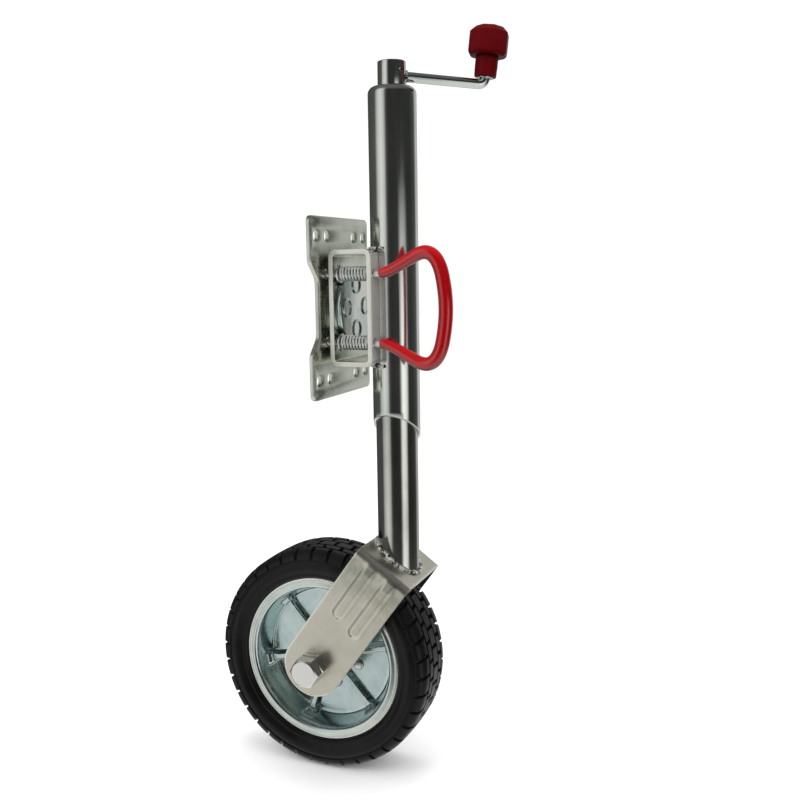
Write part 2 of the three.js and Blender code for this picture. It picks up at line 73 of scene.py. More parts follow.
TUBE_X = middle("outer_tube").x
TUBE_R = extent("outer_tube").x / 2
TUBE_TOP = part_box("outer_tube")[1].z
LEG_R = extent("inner_tube").x / 2
AXLE = middle("tyre")
TYRE_R = extent("tyre").x / 2
LIP_R = extent("rim_near").x / 2
FORK_HALF_Y = 50 * MM
FORK_HALF_W = 35 * MM
FORK_SHEET = 4.5 * MM
FORK_BEND = 8 * MM
FORK_TILT = math.radians(36)
WEB_UP = 150 * MM  # from the axle to the web's top face
MITRE_Z = -132.4 * MM  # the outer tube's mitred end, on its axis
BOLT_R = 10  # millimetres
BOLT_ACROSS = 30  # millimetres over the hexagon's flats
PIN_OFFSET = 36  # millimetres sideways and upward from the pivot's axis to a lock pin
PIN = Vector((0, -PIN_OFFSET * MM, PIN_OFFSET * MM))  # the upper lock pin; the lower one is its mirror image
BRACKET_LOW, BRACKET_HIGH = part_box("swivel_bracket")
BRACKET_SHEET = 5 * MM
ARM_ROOT = Vector((TUBE_X, 0, 238.6 * MM))  # where the crank arm's line crosses the tube's axis
KNOB_JOINT = next(j for j in frame["record"]["behaviour"]["joints"] if j["name"] == "knob_spin")
KNOB_FOOT = Vector(KNOB_JOINT["pos_m"])
SPINDLE = Vector(KNOB_JOINT["axis"]).normalized()

TO_AXLE = Matrix.Translation(AXLE)
TO_TUBE = Matrix.Translation((TUBE_X, 0, 0))
ABOUT_X = Matrix.Rotation(math.pi / 2, 4, "Y")  # turns a piece made about Z to run along +X
ABOUT_Y = Matrix.Rotation(-math.pi / 2, 4, "X")  # turns a piece made about Z to run along +Y
ON_FORK = TO_AXLE @ Matrix.Rotation(FORK_TILT, 4, "Y")


# ---- small sums ----
def clamped(value):
    return max(0.0, min(1.0, value))


def eased(share):
    return share * share * (3 - 2 * share)


def spoke(side, other, k, count):
    """A unit vector turned from side towards other by k of count steps round a circle."""
    return side * math.cos(TAU * k / count) + other * math.sin(TAU * k / count)


# ---- material building blocks ----
class Tree:
    """A node tree, with short calls for the nodes used here."""

    def __init__(self, owner):
        owner.use_nodes = True
        self.tree = owner.node_tree

    def feed(self, node, pairs):
        """Gives each socket, by number or name, its link or its value."""
        for socket, value in pairs:
            if isinstance(value, bpy.types.NodeSocket):
                self.tree.links.new(value, node.inputs[socket])
            else:
                node.inputs[socket].default_value = value

    def new(self, kind, *sources, **settings):
        node = self.tree.nodes.new("ShaderNode" + kind)
        for key, value in settings.items():
            setattr(node, key, value)
        self.feed(node, enumerate(sources))
        return node

    def ramp(self, value, stops):
        node = self.new("ValToRGB", value)
        elements = node.color_ramp.elements
        while len(elements) < len(stops):
            elements.new(0.5)
        for element, (position, colour) in zip(elements, stops):
            element.position = position
            element.color = (*colour, 1)
        return node.outputs["Color"]

    def levels(self, value, low, high, start=0.3, end=0.7):
        return self.new("MapRange", value, start, end, low, high).outputs["Result"]

    def mix(self, factor, first, second, blend="MIX"):
        node = self.new("Mix", data_type="RGBA", blend_type=blend)
        self.feed(node, ((0, factor), (6, first), (7, second)))
        return node.outputs[2]

    def add(self, first, second):
        return self.new("Math", first, second, operation="ADD").outputs["Value"]

    def times(self, first, second):
        return self.new("Math", first, second, operation="MULTIPLY").outputs["Value"]


class Nodes(Tree):
    """A material's node tree."""

    def __init__(self, name):
        self.material = bpy.data.materials.new(name)
        super().__init__(self.material)
        self.shader = self.tree.nodes["Principled BSDF"]
        self.place = self.new("TexCoord").outputs["Object"]

    def noise(self, scale, detail=4.0, rough=0.55, stretch=(1, 1, 1)):
        place = self.new("Mapping", self.place)
        place.inputs["Scale"].default_value = stretch
        node = self.new("TexNoise", place.outputs["Vector"])
        self.feed(node, (("Scale", scale), ("Detail", detail), ("Roughness", rough)))
        return node.outputs["Fac"]

    def axis(self, name):
        return self.new("SeparateXYZ", self.place).outputs[name]

    def edges(self, stops):
        return self.ramp(self.new("NewGeometry").outputs["Pointiness"], stops)

    def bump(self, height, strength, distance):
        node = self.new("Bump")
        self.feed(node, (("Strength", strength), ("Distance", distance), ("Height", height)))
        self.feed(self.shader, [("Normal", node.outputs["Normal"])])

    def finish(self, colour, roughness, metallic=0.0, **sockets):
        self.feed(self.shader, (("Base Color", colour), ("Roughness", roughness), ("Metallic", metallic)))
        self.feed(self.shader, ((name.replace("_", " "), value) for name, value in sockets.items()))
        return self.material


def plated(name, tints, rough, grain=900, grit=1.0, waviness=0.0006):
    """Plating that is metallic all over."""
    n, tint, roughness = plating(name, tints, rough, grain, grit, waviness)
    return n.finish(tint, roughness, 1.0)


def plating(name, tints, rough, grain, grit, waviness):
    """Zinc-plated steel: cloudy passivation tints, fine grain and a slightly wavy sheet."""
    n = Nodes(name)
    cloud = n.noise(28, 6, 0.6)
    speck = n.noise(grain, 3, 0.7)
    stain = n.noise(9, 4, 0.6)
    dark, base, light = tints
    tint = n.ramp(cloud, [(0.3, dark), (0.5, base), (0.72, light)])
    tint = n.mix(n.levels(stain, 0, 0.35, 0.5, 0.75), tint, (*[c * 0.82 for c in base], 1))
    tint = n.mix(n.levels(speck, 0, 0.16 * grit, 0.45, 0.7), tint, (*[c * 0.7 for c in base], 1))
    tint = n.mix(n.edges([(0.51, (0, 0, 0)), (0.57, (0.8, 0.8, 0.8))]), tint, (0.86, 0.86, 0.82, 1))
    low, high = rough
    roughness = n.add(n.levels(cloud, low, high), n.levels(speck, -0.04 * grit, 0.06 * grit))
    n.bump(n.add(n.levels(cloud, 0, 1), n.times(speck, 0.12 * grit)), 0.25, waviness)
    return n, tint, roughness


def zinc():
    return plated("satin_zinc", ((0.40, 0.44, 0.36), (0.57, 0.61, 0.52), (0.74, 0.77, 0.69)), (0.16, 0.30))


def fork_zinc():
    tints = ((0.55, 0.53, 0.44), (0.66, 0.64, 0.55), (0.74, 0.72, 0.64))
    n, tint, roughness = plating("fork_zinc", tints, (0.27, 0.38), 420, 0.25, 0.0004)
    # Painted dark reflection: long streaks darken the leg's upper part and fade out before the web.
    streaks = n.noise(70, 5, 0.7, (0.5, 1, 0.35))
    lean, rise = math.sin(FORK_TILT), math.cos(FORK_TILT)
    foot = AXLE.x * lean + AXLE.z * rise
    along = n.add(n.times(n.axis("X"), lean), n.times(n.axis("Z"), rise))
    leg = n.levels(along, 0, 1, foot + WEB_UP * 0.5, foot + WEB_UP * 0.85)
    web = n.levels(along, 1, 0, foot + WEB_UP * 0.92, foot + WEB_UP * 0.97)
    painted_reflection_streaks = n.times(n.times(leg, web), n.levels(streaks, 0.0, 0.75, 0.42, 0.62))
    return n.finish(n.mix(painted_reflection_streaks, tint, (0.34, 0.36, 0.29, 1)), roughness, 1.0)


def cut_edge():
    """The bright sheared edges of the bracket's strip."""
    tints = ((0.60, 0.60, 0.51), (0.76, 0.76, 0.66), (0.86, 0.86, 0.77))
    n, tint, roughness = plating("cut_edge", tints, (0.26, 0.42), 700, 1.0, 0.0006)
    return n.finish(tint, roughness, 0.35)


def bracket_side():
    """The bracket's outer wall beside the tube, darker and a little brown."""
    tints = ((0.18, 0.17, 0.14), (0.26, 0.245, 0.205), (0.36, 0.34, 0.29))
    n, tint, roughness = plating("bracket_side", tints, (0.24, 0.40), 700, 1.0, 0.0006)
    return n.finish(tint, roughness, 0.5)


def spring_wire():
    """Thinly plated music wire, drawn lengthways."""
    n = Nodes("spring_wire")
    cloud = n.noise(90, 4)
    lines = n.noise(1600, 3, 0.6)
    tint = n.ramp(cloud, [(0.3, (0.60, 0.62, 0.61)), (0.7, (0.80, 0.82, 0.80))])
    n.bump(lines, 0.12, 0.0002)
    return n.finish(tint, n.levels(lines, 0.16, 0.34), 0.55)


def rim_zinc():
    tints = ((0.38, 0.50, 0.49), (0.53, 0.64, 0.64), (0.64, 0.74, 0.73))
    return plated("rim_zinc", tints, (0.12, 0.22), 1400, 0.5, 0.0009)


def lip_zinc():
    """The rolled lip, where the passivation has gone pale yellow."""
    tints = ((0.48, 0.56, 0.55), (0.62, 0.68, 0.64), (0.78, 0.79, 0.70))
    return plated("lip_zinc", tints, (0.14, 0.24), 1400, 0.5, 0.0006)


def tube_chrome(name="tube_chrome", dark=(0.56, 0.60, 0.57), light=(0.78, 0.80, 0.77)):
    """Bright plated tube with faint drawing lines along its length."""
    n = Nodes(name)
    lines = n.noise(260, 3, 0.6, (1, 1, 0.02))
    cloud = n.noise(14, 5, 0.6, (1, 1, 0.4))
    speck = n.noise(1500, 2, 0.6)
    tint = n.ramp(cloud, [(0.3, dark), (0.7, light)])
    tint = n.mix(n.levels(speck, 0, 0.25, 0.55, 0.75), tint, (0.42, 0.43, 0.41, 1))
    roughness = n.add(n.levels(cloud, 0.07, 0.15), n.levels(lines, -0.02, 0.05))
    n.bump(n.add(lines, n.times(speck, 0.2)), 0.03, 0.0002)
    return n.finish(tint, roughness, 1.0)


def leg_chrome():
    """The inner tube's plating, mottled by the grease that it slides in."""
    return tube_chrome("leg_chrome", (0.34, 0.36, 0.33), (0.80, 0.81, 0.78))


def bright_steel():
    """Turned and plated fasteners, crank arm and lock pins."""
    n = Nodes("bright_steel")
    cloud = n.noise(60, 4)
    speck = n.noise(2200, 3, 0.7)
    tint = n.ramp(cloud, [(0.3, (0.58, 0.58, 0.56)), (0.7, (0.74, 0.74, 0.72))])
    tint = n.mix(n.edges([(0.5, (0, 0, 0)), (0.56, (0.6, 0.6, 0.6))]), tint, (0.86, 0.86, 0.84, 1))
    roughness = n.add(n.levels(cloud, 0.14, 0.26), n.levels(speck, -0.03, 0.08))
    n.bump(speck, 0.1, 0.0002)
    return n.finish(tint, roughness, 1.0)


def dull_steel():
    """Unplated steel inside the jack, with a film of oil."""
    n = Nodes("dull_steel")
    cloud = n.noise(45, 5)
    rings = n.noise(500, 2, 0.5, (0.05, 0.05, 1))
    tint = n.ramp(cloud, [(0.3, (0.30, 0.30, 0.29)), (0.7, (0.46, 0.46, 0.44))])
    roughness = n.add(n.levels(cloud, 0.28, 0.42), n.levels(rings, -0.05, 0.07))
    n.bump(rings, 0.15, 0.0003)
    return n.finish(tint, roughness, 1.0)


def weld():
    """Plated weld metal: painted highlights on its peaks, and dark slag with painted shade in its hollows."""
    n = Nodes("weld_metal")
    cloud = n.noise(240, 5, 0.65)
    pits = n.noise(900, 3, 0.7)
    # Painted light: near-white on the bumps' tops is painted highlight; near-black in the hollows is slag
    # plus painted shade.
    tint = n.ramp(cloud, [(0.42, (0.02, 0.02, 0.018)), (0.49, (0.5, 0.5, 0.47)), (0.53, (1, 1, 0.96))])
    roughness = n.levels(pits, 0.25, 0.55)
    n.bump(n.add(cloud, pits), 0.8, 0.0012)
    return n.finish(tint, roughness, 0.6)


def brass():
    n = Nodes("nut_brass")
    cloud = n.noise(50, 4)
    rings = n.noise(700, 2, 0.5, (0.05, 0.05, 1))
    tint = n.ramp(cloud, [(0.3, (0.50, 0.34, 0.10)), (0.7, (0.70, 0.52, 0.22))])
    n.bump(rings, 0.12, 0.0003)
    return n.finish(tint, n.levels(rings, 0.24, 0.42), 1.0)


def red_vinyl():
    """Glossy dipped vinyl with slow sags and a few scuffs."""
    n = Nodes("red_vinyl")
    sag = n.noise(26, 3, 0.5, (1, 1, 0.5))
    fine = n.noise(420, 4, 0.6)
    scuff = n.noise(160, 5, 0.75, (1, 1, 0.25))
    tint = n.ramp(sag, [(0.3, (0.36, 0.0005, 0.003)), (0.7, (0.47, 0.001, 0.005))])
    tint = n.mix(n.levels(scuff, 0, 0.3, 0.66, 0.78), tint, (0.55, 0.04, 0.04, 1))
    roughness = n.add(n.levels(sag, 0.16, 0.26), n.levels(scuff, 0, 0.25, 0.62, 0.8))
    n.bump(n.add(sag, n.times(fine, 0.08)), 0.35, 0.0012)
    return n.finish(tint, roughness, Specular_IOR_Level=0.05, Coat_Weight=0.8, Coat_IOR=1.8,
                    Coat_Roughness=0.05)


def red_plastic():
    """The knob's moulded plastic: fine spark texture, and edges rubbed a little lighter."""
    n = Nodes("red_plastic")
    cloud = n.noise(40, 4)
    spark = n.noise(1700, 3, 0.7)
    tint = n.ramp(cloud, [(0.3, (0.085, 0.0003, 0.0015)), (0.7, (0.12, 0.0005, 0.0025))])
    tint = n.mix(n.edges([(0.51, (0, 0, 0)), (0.58, (0.5, 0.5, 0.5))]), tint, (0.24, 0.008, 0.012, 1))
    roughness = n.add(n.levels(cloud, 0.28, 0.38), n.levels(spark, -0.04, 0.08))
    n.bump(spark, 0.3, 0.0003)
    return n.finish(tint, roughness, Specular_IOR_Level=0.06)


def rubber():
    """Moulded tyre rubber: matt, dusty in places, with a fine grain."""
    n = Nodes("tyre_rubber")
    cloud = n.noise(22, 5, 0.6)
    grain = n.noise(1300, 4, 0.7)
    dust = n.noise(75, 6, 0.7)
    tint = n.ramp(cloud, [(0.3, (0.0035, 0.0035, 0.0035)), (0.7, (0.008, 0.008, 0.008))])
    tint = n.mix(n.levels(dust, 0, 0.5, 0.52, 0.8), tint, (0.02, 0.019, 0.018, 1))
    roughness = n.add(n.levels(cloud, 0.24, 0.38), n.levels(grain, -0.06, 0.1))
    n.bump(n.add(n.times(grain, 0.4), dust), 0.25, 0.0005)
    return n.finish(tint, roughness, Specular_IOR_Level=0.2)


def nylon():
    n = Nodes("bush_nylon")
    cloud = n.noise(60, 4)
    grain = n.noise(1500, 3)
    tint = n.ramp(cloud, [(0.3, (0.62, 0.60, 0.53)), (0.7, (0.74, 0.72, 0.65))])
    n.bump(grain, 0.15, 0.0003)
    return n.finish(tint, n.levels(grain, 0.4, 0.55), Subsurface_Weight=0.1)


def floor_white():
    n = Nodes("floor_white")
    cloud = n.noise(1.2, 3)
    tint = n.ramp(cloud, [(0.3, (0.95, 0.95, 0.95)), (0.7, (0.97, 0.97, 0.97))])
    return n.finish(tint, n.levels(cloud, 0.7, 0.8), Specular_IOR_Level=0.0)


MATERIAL = {
    "zinc": zinc(), "fork_zinc": fork_zinc(), "edge": cut_edge(), "side": bracket_side(),
    "spring": spring_wire(), "rim_zinc": rim_zinc(), "lip": lip_zinc(),
    "chrome": tube_chrome(), "leg_chrome": leg_chrome(),
    "bright": bright_steel(), "steel": dull_steel(), "weld": weld(), "brass": brass(),
    "red_grip": red_vinyl(), "red_knob": red_plastic(), "tyre": rubber(), "nylon": nylon(),
}


# ---- mesh building blocks ----
def new_object(name, mesh):
    obj = bpy.data.objects.new(name, mesh)
    bpy.context.scene.collection.objects.link(obj)
    return obj


def from_faces(name, points, faces):
    mesh = bpy.data.meshes.new(name)
    mesh.from_pydata(points, [], faces)
    mesh.validate()
    return new_object(name, mesh)


def applied(obj):
    """Bakes the object's modifiers into its mesh."""
    graph = bpy.context.evaluated_depsgraph_get()
    mesh = bpy.data.meshes.new_from_object(obj.evaluated_get(graph))
    obj.modifiers.clear()
    old = obj.data
    obj.data = mesh
    bpy.data.meshes.remove(old)
    return obj


def modified(obj, kind, **settings):
    modifier = obj.modifiers.new(kind.lower(), kind)
    for key, value in settings.items():
        setattr(modifier, key, value)
    return applied(obj)


def bevelled(obj, width, segments=2, angle=35):
    return modified(obj, "BEVEL", width=width, segments=segments, limit_method="ANGLE",
                    angle_limit=math.radians(angle), harden_normals=False)


def carved(obj, *tools, operation="DIFFERENCE"):
    """Cuts the tools out of obj, or joins or intersects it with them, and removes them."""
    for tool in tools:
        modified(obj, "BOOLEAN", object=tool, operation=operation, solver="EXACT")
        mesh = tool.data
        bpy.data.objects.remove(tool)
        bpy.data.meshes.remove(mesh)
    return obj


def smooth(obj, angle=35):
    """Smooth shading, with an edge kept sharp where its faces meet at more than the angle."""
    mesh = obj.data
    mesh.shade_smooth()
    mesh.set_sharp_from_angle(angle=math.radians(angle))
    return obj


def placed(obj, matrix):
    obj.data.transform(matrix)
    if matrix.determinant() < 0:
        obj.data.flip_normals()
    return obj


@contextmanager
def edited(obj):
    """The object's mesh, open for editing and written back afterwards."""
    b = bmesh.new()
    b.from_mesh(obj.data)
    yield b
    b.to_mesh(obj.data)
    b.free()


def outward(obj):
    """Merges doubled points and turns every face outward."""
    with edited(obj) as b:
        bmesh.ops.remove_doubles(b, verts=b.verts, dist=1e-7)
        bmesh.ops.recalc_face_normals(b, faces=b.faces)
    return obj


def grid_faces(rows, columns, wrap_rows=False, wrap_columns=False):
    faces = []
    for i in range(rows if wrap_rows else rows - 1):
        for j in range(columns if wrap_columns else columns - 1):
            a, b = i * columns, (i + 1) % rows * columns
            k = (j + 1) % columns
            faces.append((a + j, a + k, b + k, b + j))
    return faces


def turned(name, profile, segments=96, ring_at=None):
    """Turns a closed or axis-to-axis profile of (radius, height) in millimetres about Z."""
    rows = []
    for k in range(segments):
        a = TAU * k / segments
        for r, z in profile:
            point = Vector((r * math.cos(a), r * math.sin(a), z)) * MM
            rows.append(ring_at(point) if ring_at else point)
    is_loop = profile[0] != profile[-1] and profile[0][0] > 0 and profile[-1][0] > 0
    faces = grid_faces(segments, len(profile), True, is_loop)
    return smooth(outward(from_faces(name, rows, faces)))


def rounded_profile(corners, steps=4):
    """A closed profile of (radius, height, rounding) corners, each rounded, in millimetres."""
    points = []
    count = len(corners)
    for i, (r, z, rounding) in enumerate(corners):
        here = Vector((r, z))
        if not rounding:
            points.append((r, z))
            continue
        back = (Vector(corners[i - 1][:2]) - here).normalized()
        ahead = (Vector(corners[(i + 1) % count][:2]) - here).normalized()
        half = back.angle(ahead) / 2
        centre = here + (back + ahead).normalized() * rounding / math.sin(half)
        start = here + back * rounding / math.tan(half) - centre
        sweep = math.copysign(math.pi - 2 * half, ahead.x * back.y - ahead.y * back.x)
        for k in range(steps + 1):
            spin = Matrix.Rotation(sweep * k / steps, 2)
            points.append(tuple(centre + spin @ start))
    return points


def ring(name, outer, inner, z0, z1, rounding=0.4, segments=96):
    profile = [(inner, z0, rounding), (outer, z0, rounding), (outer, z1, rounding), (inner, z1, rounding)]
    return turned(name, rounded_profile(profile, 3), segments)


def circle_points(a, b, r, count=40):
    return [(a + r * math.cos(TAU * k / count), b + r * math.sin(TAU * k / count)) for k in range(count)]


def pressed_plate(name, outline, holes, thickness, edge=0.5):
    """A flat plate from z=0 up, with rounded edges; outline and holes in millimetres."""
    curve = bpy.data.curves.new(name, "CURVE")
    curve.dimensions = "2D"
    curve.fill_mode = "BOTH"
    curve.extrude = (thickness / 2 - edge) * MM
    curve.bevel_depth = edge * MM
    curve.bevel_resolution = 2
    curve.offset = -edge * MM
    for points in [outline, *holes]:
        spline = curve.splines.new("POLY")
        spline.points.add(len(points) - 1)
        for point, (a, b) in zip(spline.points, points):
            point.co = (a * MM, b * MM, 0, 1)
        spline.use_cyclic_u = True
    maker = new_object(name + "_curve", curve)
    graph = bpy.context.evaluated_depsgraph_get()
    mesh = bpy.data.meshes.new_from_object(maker.evaluated_get(graph))
    bpy.data.objects.remove(maker)
    bpy.data.curves.remove(curve)
    mesh.transform(Matrix.Translation((0, 0, thickness / 2 * MM)))
    obj = new_object(name, mesh)
    return smooth(outward(obj), 30)


def swept(name, path, radius_at, sides=24, cap=0.35):
    """A round bar along a list of points in metres; radius_at(share of the length) in metres."""
    count = len(path)
    lengths = [0.0]
    for a, b in zip(path, path[1:]):
        lengths.append(lengths[-1] + (b - a).length)
    tangents = [(path[min(i + 1, count - 1)] - path[max(i - 1, 0)]).normalized() for i in range(count)]
    side = tangents[0].orthogonal().normalized()
    rings = []
    for i, (point, tangent) in enumerate(zip(path, tangents)):
        side = (side - tangent * side.dot(tangent)).normalized()
        other = tangent.cross(side)
        r = radius_at(lengths[i] / lengths[-1])
        rings.append([point + spoke(side, other, k, sides) * r for k in range(sides)])
    points = [p for one in rings for p in one]
    faces = grid_faces(count, sides, False, True)
    for end, inward in ((0, tangents[0]), (count - 1, -tangents[-1])):
        base = end * sides
        centre = path[end]
        rim = len(points)
        edge = radius_at(lengths[end] / lengths[-1]) * cap
        inset = 1 - cap * 0.6
        points += [centre - inward * edge + (points[base + k] - centre) * inset for k in range(sides)]
        for k in range(sides):
            j = (k + 1) % sides
            faces.append((base + k, base + j, rim + j, rim + k))
        faces.append(tuple(rim + k for k in range(sides)))
    return smooth(outward(from_faces(name, points, faces)), 50)


def smooth_path(points, per_span=8):
    """Catmull-Rom points through a short list of given ones."""
    ends = [points[0] * 2 - points[1], *points, points[-1] * 2 - points[-2]]
    found = []
    for a, b, c, d in zip(ends, ends[1:], ends[2:], ends[3:]):
        for k in range(per_span):
            t = k / per_span
            found.append(0.5 * ((2 * b) + (c - a) * t + (2 * a - 5 * b + 4 * c - d) * t * t
                                + (3 * b - a - 3 * c + d) * t ** 3))
    return [*found, points[-1]]


def hex_prism(name, across, z0, z1):
    r = across / math.sqrt(3)
    corners = [(r * math.cos(TAU * k / 6), r * math.sin(TAU * k / 6)) for k in range(6)]
    points = [Vector((a, b, z)) * MM for z in (z0, z1) for a, b in corners]
    sides = [(k, (k + 1) % 6, 6 + (k + 1) % 6, 6 + k) for k in range(6)]
    return outward(from_faces(name, points, [*sides, tuple(range(6)), tuple(range(6, 12))]))


def show(obj, body, look, slot, *nodes):
    """Gives a piece its material, its body and the CAD nodes that it stands for."""
    obj.data.materials.clear()
    obj.data.materials.append(MATERIAL[look])
    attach(obj, body)
    if nodes:
        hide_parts(*nodes)
    return obj


# ---- mounting plate and pivot ----
def plate_outline():
    size = extent("mount_plate") / MM
    half_y, half_z = size.y / 2, size.z / 2
    quarter = [(54.5, 30, 14), (half_y, 48, 10), (half_y, half_z, 7)]
    back = quarter[::-1]
    corners = [(y * a, z * b, r) for points, a, b in
               ((quarter, 1, 1), (back, -1, 1), (quarter, -1, -1), (back, 1, -1)) for y, z, r in points]
    return rounded_profile(corners, 8)


def mount_plate():
    bolt_hole, lock_hole, sheet = 6.25, 5, 5
    offsets = (-PIN_OFFSET, PIN_OFFSET)
    bolts = [circle_points(y, z, bolt_hole) for y in (-58, -33, 33, 58) for z in (-75.5, 75.5)]
    locks = [circle_points(y, z, lock_hole) for y in offsets for z in offsets]
    plate = pressed_plate("plate", plate_outline(), bolts + locks, sheet, 0.6)
    flat_to_x = Matrix(((0, 0, 1, 0), (1, 0, 0, 0), (0, 1, 0, 0), (0, 0, 0, 1)))
    show(placed(plate, flat_to_x), "mount", "zinc", "zinc", "mount_plate")


def pivot():
    boss = turned("boss", rounded_profile([
        (0.01, 5.05, 0), (39, 5.05, 0.3), (39, 11.3, 0.6), (33.5, 11.3, 0.2), (33.5, 17, 0.2), (0.01, 17, 0),
    ], 3))
    show(placed(boss, ABOUT_X), "mount", "zinc", "zinc", "pivot_boss")
    disc = turned("retaining_disc", rounded_profile([
        (0.01, 17.05, 0), (40, 17.05, 0.4), (40, 22.5, 0.9), (0.01, 22.5, 0),
    ], 4), 128)
    show(placed(disc, ABOUT_X), "mount", "rim_zinc", "rim_zinc", "pivot_disc")
    for k in range(4):
        node = f"pivot_rivet_{k + 1}"
        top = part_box(node)[1].x / MM
        head = turned(f"rivet_{k + 1}", rounded_profile([
            (0.01, top - 3, 0), (10.5, top - 3, 0.2), (10.5, top, 0.7), (8.9, top, 0.4), (7, top - 1.9, 0.8),
            (0.01, top - 1.6, 0),
        ], 4), 64)
        centre = middle(node)
        place = Matrix.Translation((0, centre.y, centre.z)) @ ABOUT_X
        show(placed(head, place), "mount", "rim_zinc", "rim_zinc", node)


# ---- swinging bracket and tube ----
def bracket():
    low, high = BRACKET_LOW / MM, BRACKET_HIGH / MM
    sheet = BRACKET_SHEET / MM
    bend, inside = 8, 3.2  # radii of the bends
    x0, x1, z0, z1 = low.x, high.x, low.z, high.z
    outer = rounded_profile([(x0, z0, bend), (x1, z0, bend), (x1, z1, bend), (x0, z1, bend)], 8)
    x0, x1, z0, z1 = x0 + sheet, x1 - sheet, z0 + sheet, z1 - sheet
    inner = rounded_profile([(x0, z0, inside), (x0, z1, inside), (x1, z1, inside), (x1, z0, inside)], 6)
    loop = pressed_plate("bracket", outer, [inner], high.y - low.y, 0.5)
    flat_to_y = Matrix(((1, 0, 0, 0), (0, 0, -1, high.y * MM), (0, 1, 0, 0), (0, 0, 0, 1)))
    placed(loop, flat_to_y)
    tube = placed(turned("tube_cut", [(0, -80), (25.7, -80), (25.7, 80), (0, 80)], 128), TO_TUBE)
    bore = placed(turned("bore_cut", [(0, 5), (34, 5), (34, 18), (0, 18)], 96), ABOUT_X)
    pins = [placed(turned("pin_cut", [(0, 5), (5, 5), (5, 70), (0, 70)], 40), pin_line(side))
            for side in (1, -1)]
    carved(loop, tube, bore, *pins)
    show(smooth(loop, 30), "jack", "zinc", "zinc", "swivel_bracket")
    for look in ("edge", "side"):
        loop.data.materials.append(MATERIAL[look])
    for face in loop.data.polygons:
        by_tube = face.normal.x > 0.8 and face.center.x > (high.x - 1) * MM
        face.material_index = 1 if abs(face.normal.y) > 0.6 else 2 if by_tube else 0


def pin_line(side):
    """Puts a piece made about Z on the upper lock pin's line for side 1, and on the lower one's for -1."""
    return Matrix.Translation((0, PIN.y, side * PIN.z)) @ ABOUT_X


def mitred(point):
    """Moves the tube's lowest points on to its slanting end."""
    if point.z < MITRE_Z - 20 * MM:
        point.z = MITRE_Z - math.tan(FORK_TILT) * point.y + (point.z + 200 * MM)
    return point


def outer_tube():
    top = TUBE_TOP / MM
    r = TUBE_R / MM
    end = -200  # stands for the mitred end, 0.5 mm either way being its rounded edge
    foot = [(23, end + 0.4), (23.3, end), (25.1, end), (r, end + 0.4), (r, -110), (r, -60), (r, 0)]
    head = rounded_profile([
        (r, 120, 0), (r, top, 8), (9.2, top, 0.6), (9.2, top - 3.6, 0), (20, top - 3.6, 0), (23, top - 7, 2),
        (23, 120, 0),
    ], 10)
    profile = [*foot, *head, (23, -110)]
    tube = placed(turned("tube_outer", profile, 160, mitred), TO_TUBE)
    show(tube, "jack", "chrome", "chrome", "outer_tube")


def bead(name, path, body, radius=2.6):
    """A hand-laid weld bead: ripples along it, and a wandering width."""
    count = len(path)

    def radius_at(share):
        ripple = 0.16 * abs(math.sin(share * count * 0.9))
        wander = 0.32 * noise.noise(Vector((share * 17, radius, count * 0.1)))
        return radius * MM * (0.86 + ripple + wander)

    obj = swept(name, path, radius_at, 14, 0.5)
    with edited(obj) as b:
        for vertex in b.verts:
            vertex.co += noise.noise_vector(vertex.co * 380) * 0.9 * MM
    show(smooth(obj, 60), body, "weld", "zinc")


def bracket_welds():
    for label, z in (("top", BRACKET_HIGH.z + 0.6 * MM), ("bottom", BRACKET_LOW.z - 0.6 * MM)):
        arc = []
        for k in range(81):
            a = math.radians(96 + 168 * k / 80)
            reach = TUBE_R + 1.1 * MM
            arc.append(Vector((TUBE_X + reach * math.cos(a), reach * math.sin(a), z)))
        bead(f"weld_bracket_{label}", arc, "jack", 1.9)


# ---- crank ----
def crank_hub():
    low, high = (corner.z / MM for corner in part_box("crank_hub"))
    body = turned("hub", rounded_profile([
        (8.3, low, 0.3), (14.85, low, 0.5), (14.85, high, 1.1), (8.3, high, 0.8),
    ], 4), 96)
    hole = turned("hole_cut", [(0, 0), (2.3, 0), (2.3, 30), (0, 30)], 32)
    drill = Matrix.Translation((0, 0, 242.5 * MM)) @ Matrix.Rotation(math.radians(-30), 4, "Z") @ ABOUT_X
    carved(body, placed(hole, drill))
    show(placed(smooth(body, 30), TO_TUBE), "crank", "chrome", "chrome", "crank_hub")
    pin = ring("hub_roll_pin", 2.25, 1.3, 8, 11.5, 0.2, 32)
    show(placed(pin, TO_TUBE @ drill), "crank", "bright", "steel", "hub_pin")
    plug = turned("screw_end", rounded_profile([
        (0.01, 230, 0), (7.9, 230, 0.2), (7.9, 250.5, 1), (0.01, 250.5, 0),
    ], 3), 64)
    show(placed(plug, TO_TUBE), "crank", "steel", "steel")


def crank_arm():
    along = (KNOB_FOOT - ARM_ROOT).normalized()
    bend, rise = 7.5 * MM, 39 * MM
    path = [ARM_ROOT + along * (9 + k * 8.3) * MM for k in range(11)]
    for k in range(13):
        t = k / 12
        path.append(KNOB_FOOT - along * bend * (1 - t) ** 2 + SPINDLE * bend * t * t)
    path.append(KNOB_FOOT + SPINDLE * rise)
    show(swept("arm", path, lambda _: 5.3 * MM, 32, 0.3), "crank", "chrome", "chrome", "crank_arm")
    centre = ARM_ROOT + along * 14.9 * MM
    side = along.orthogonal().normalized()
    other = along.cross(side)
    loop = [centre + spoke(side, other, k, 40) * 5.7 * MM for k in range(41)]
    bead("weld_arm", loop, "crank", 1.0)


def on_spindle():
    return Matrix.Translation(KNOB_FOOT) @ SPINDLE.to_track_quat("Z", "Y").to_matrix().to_4x4()


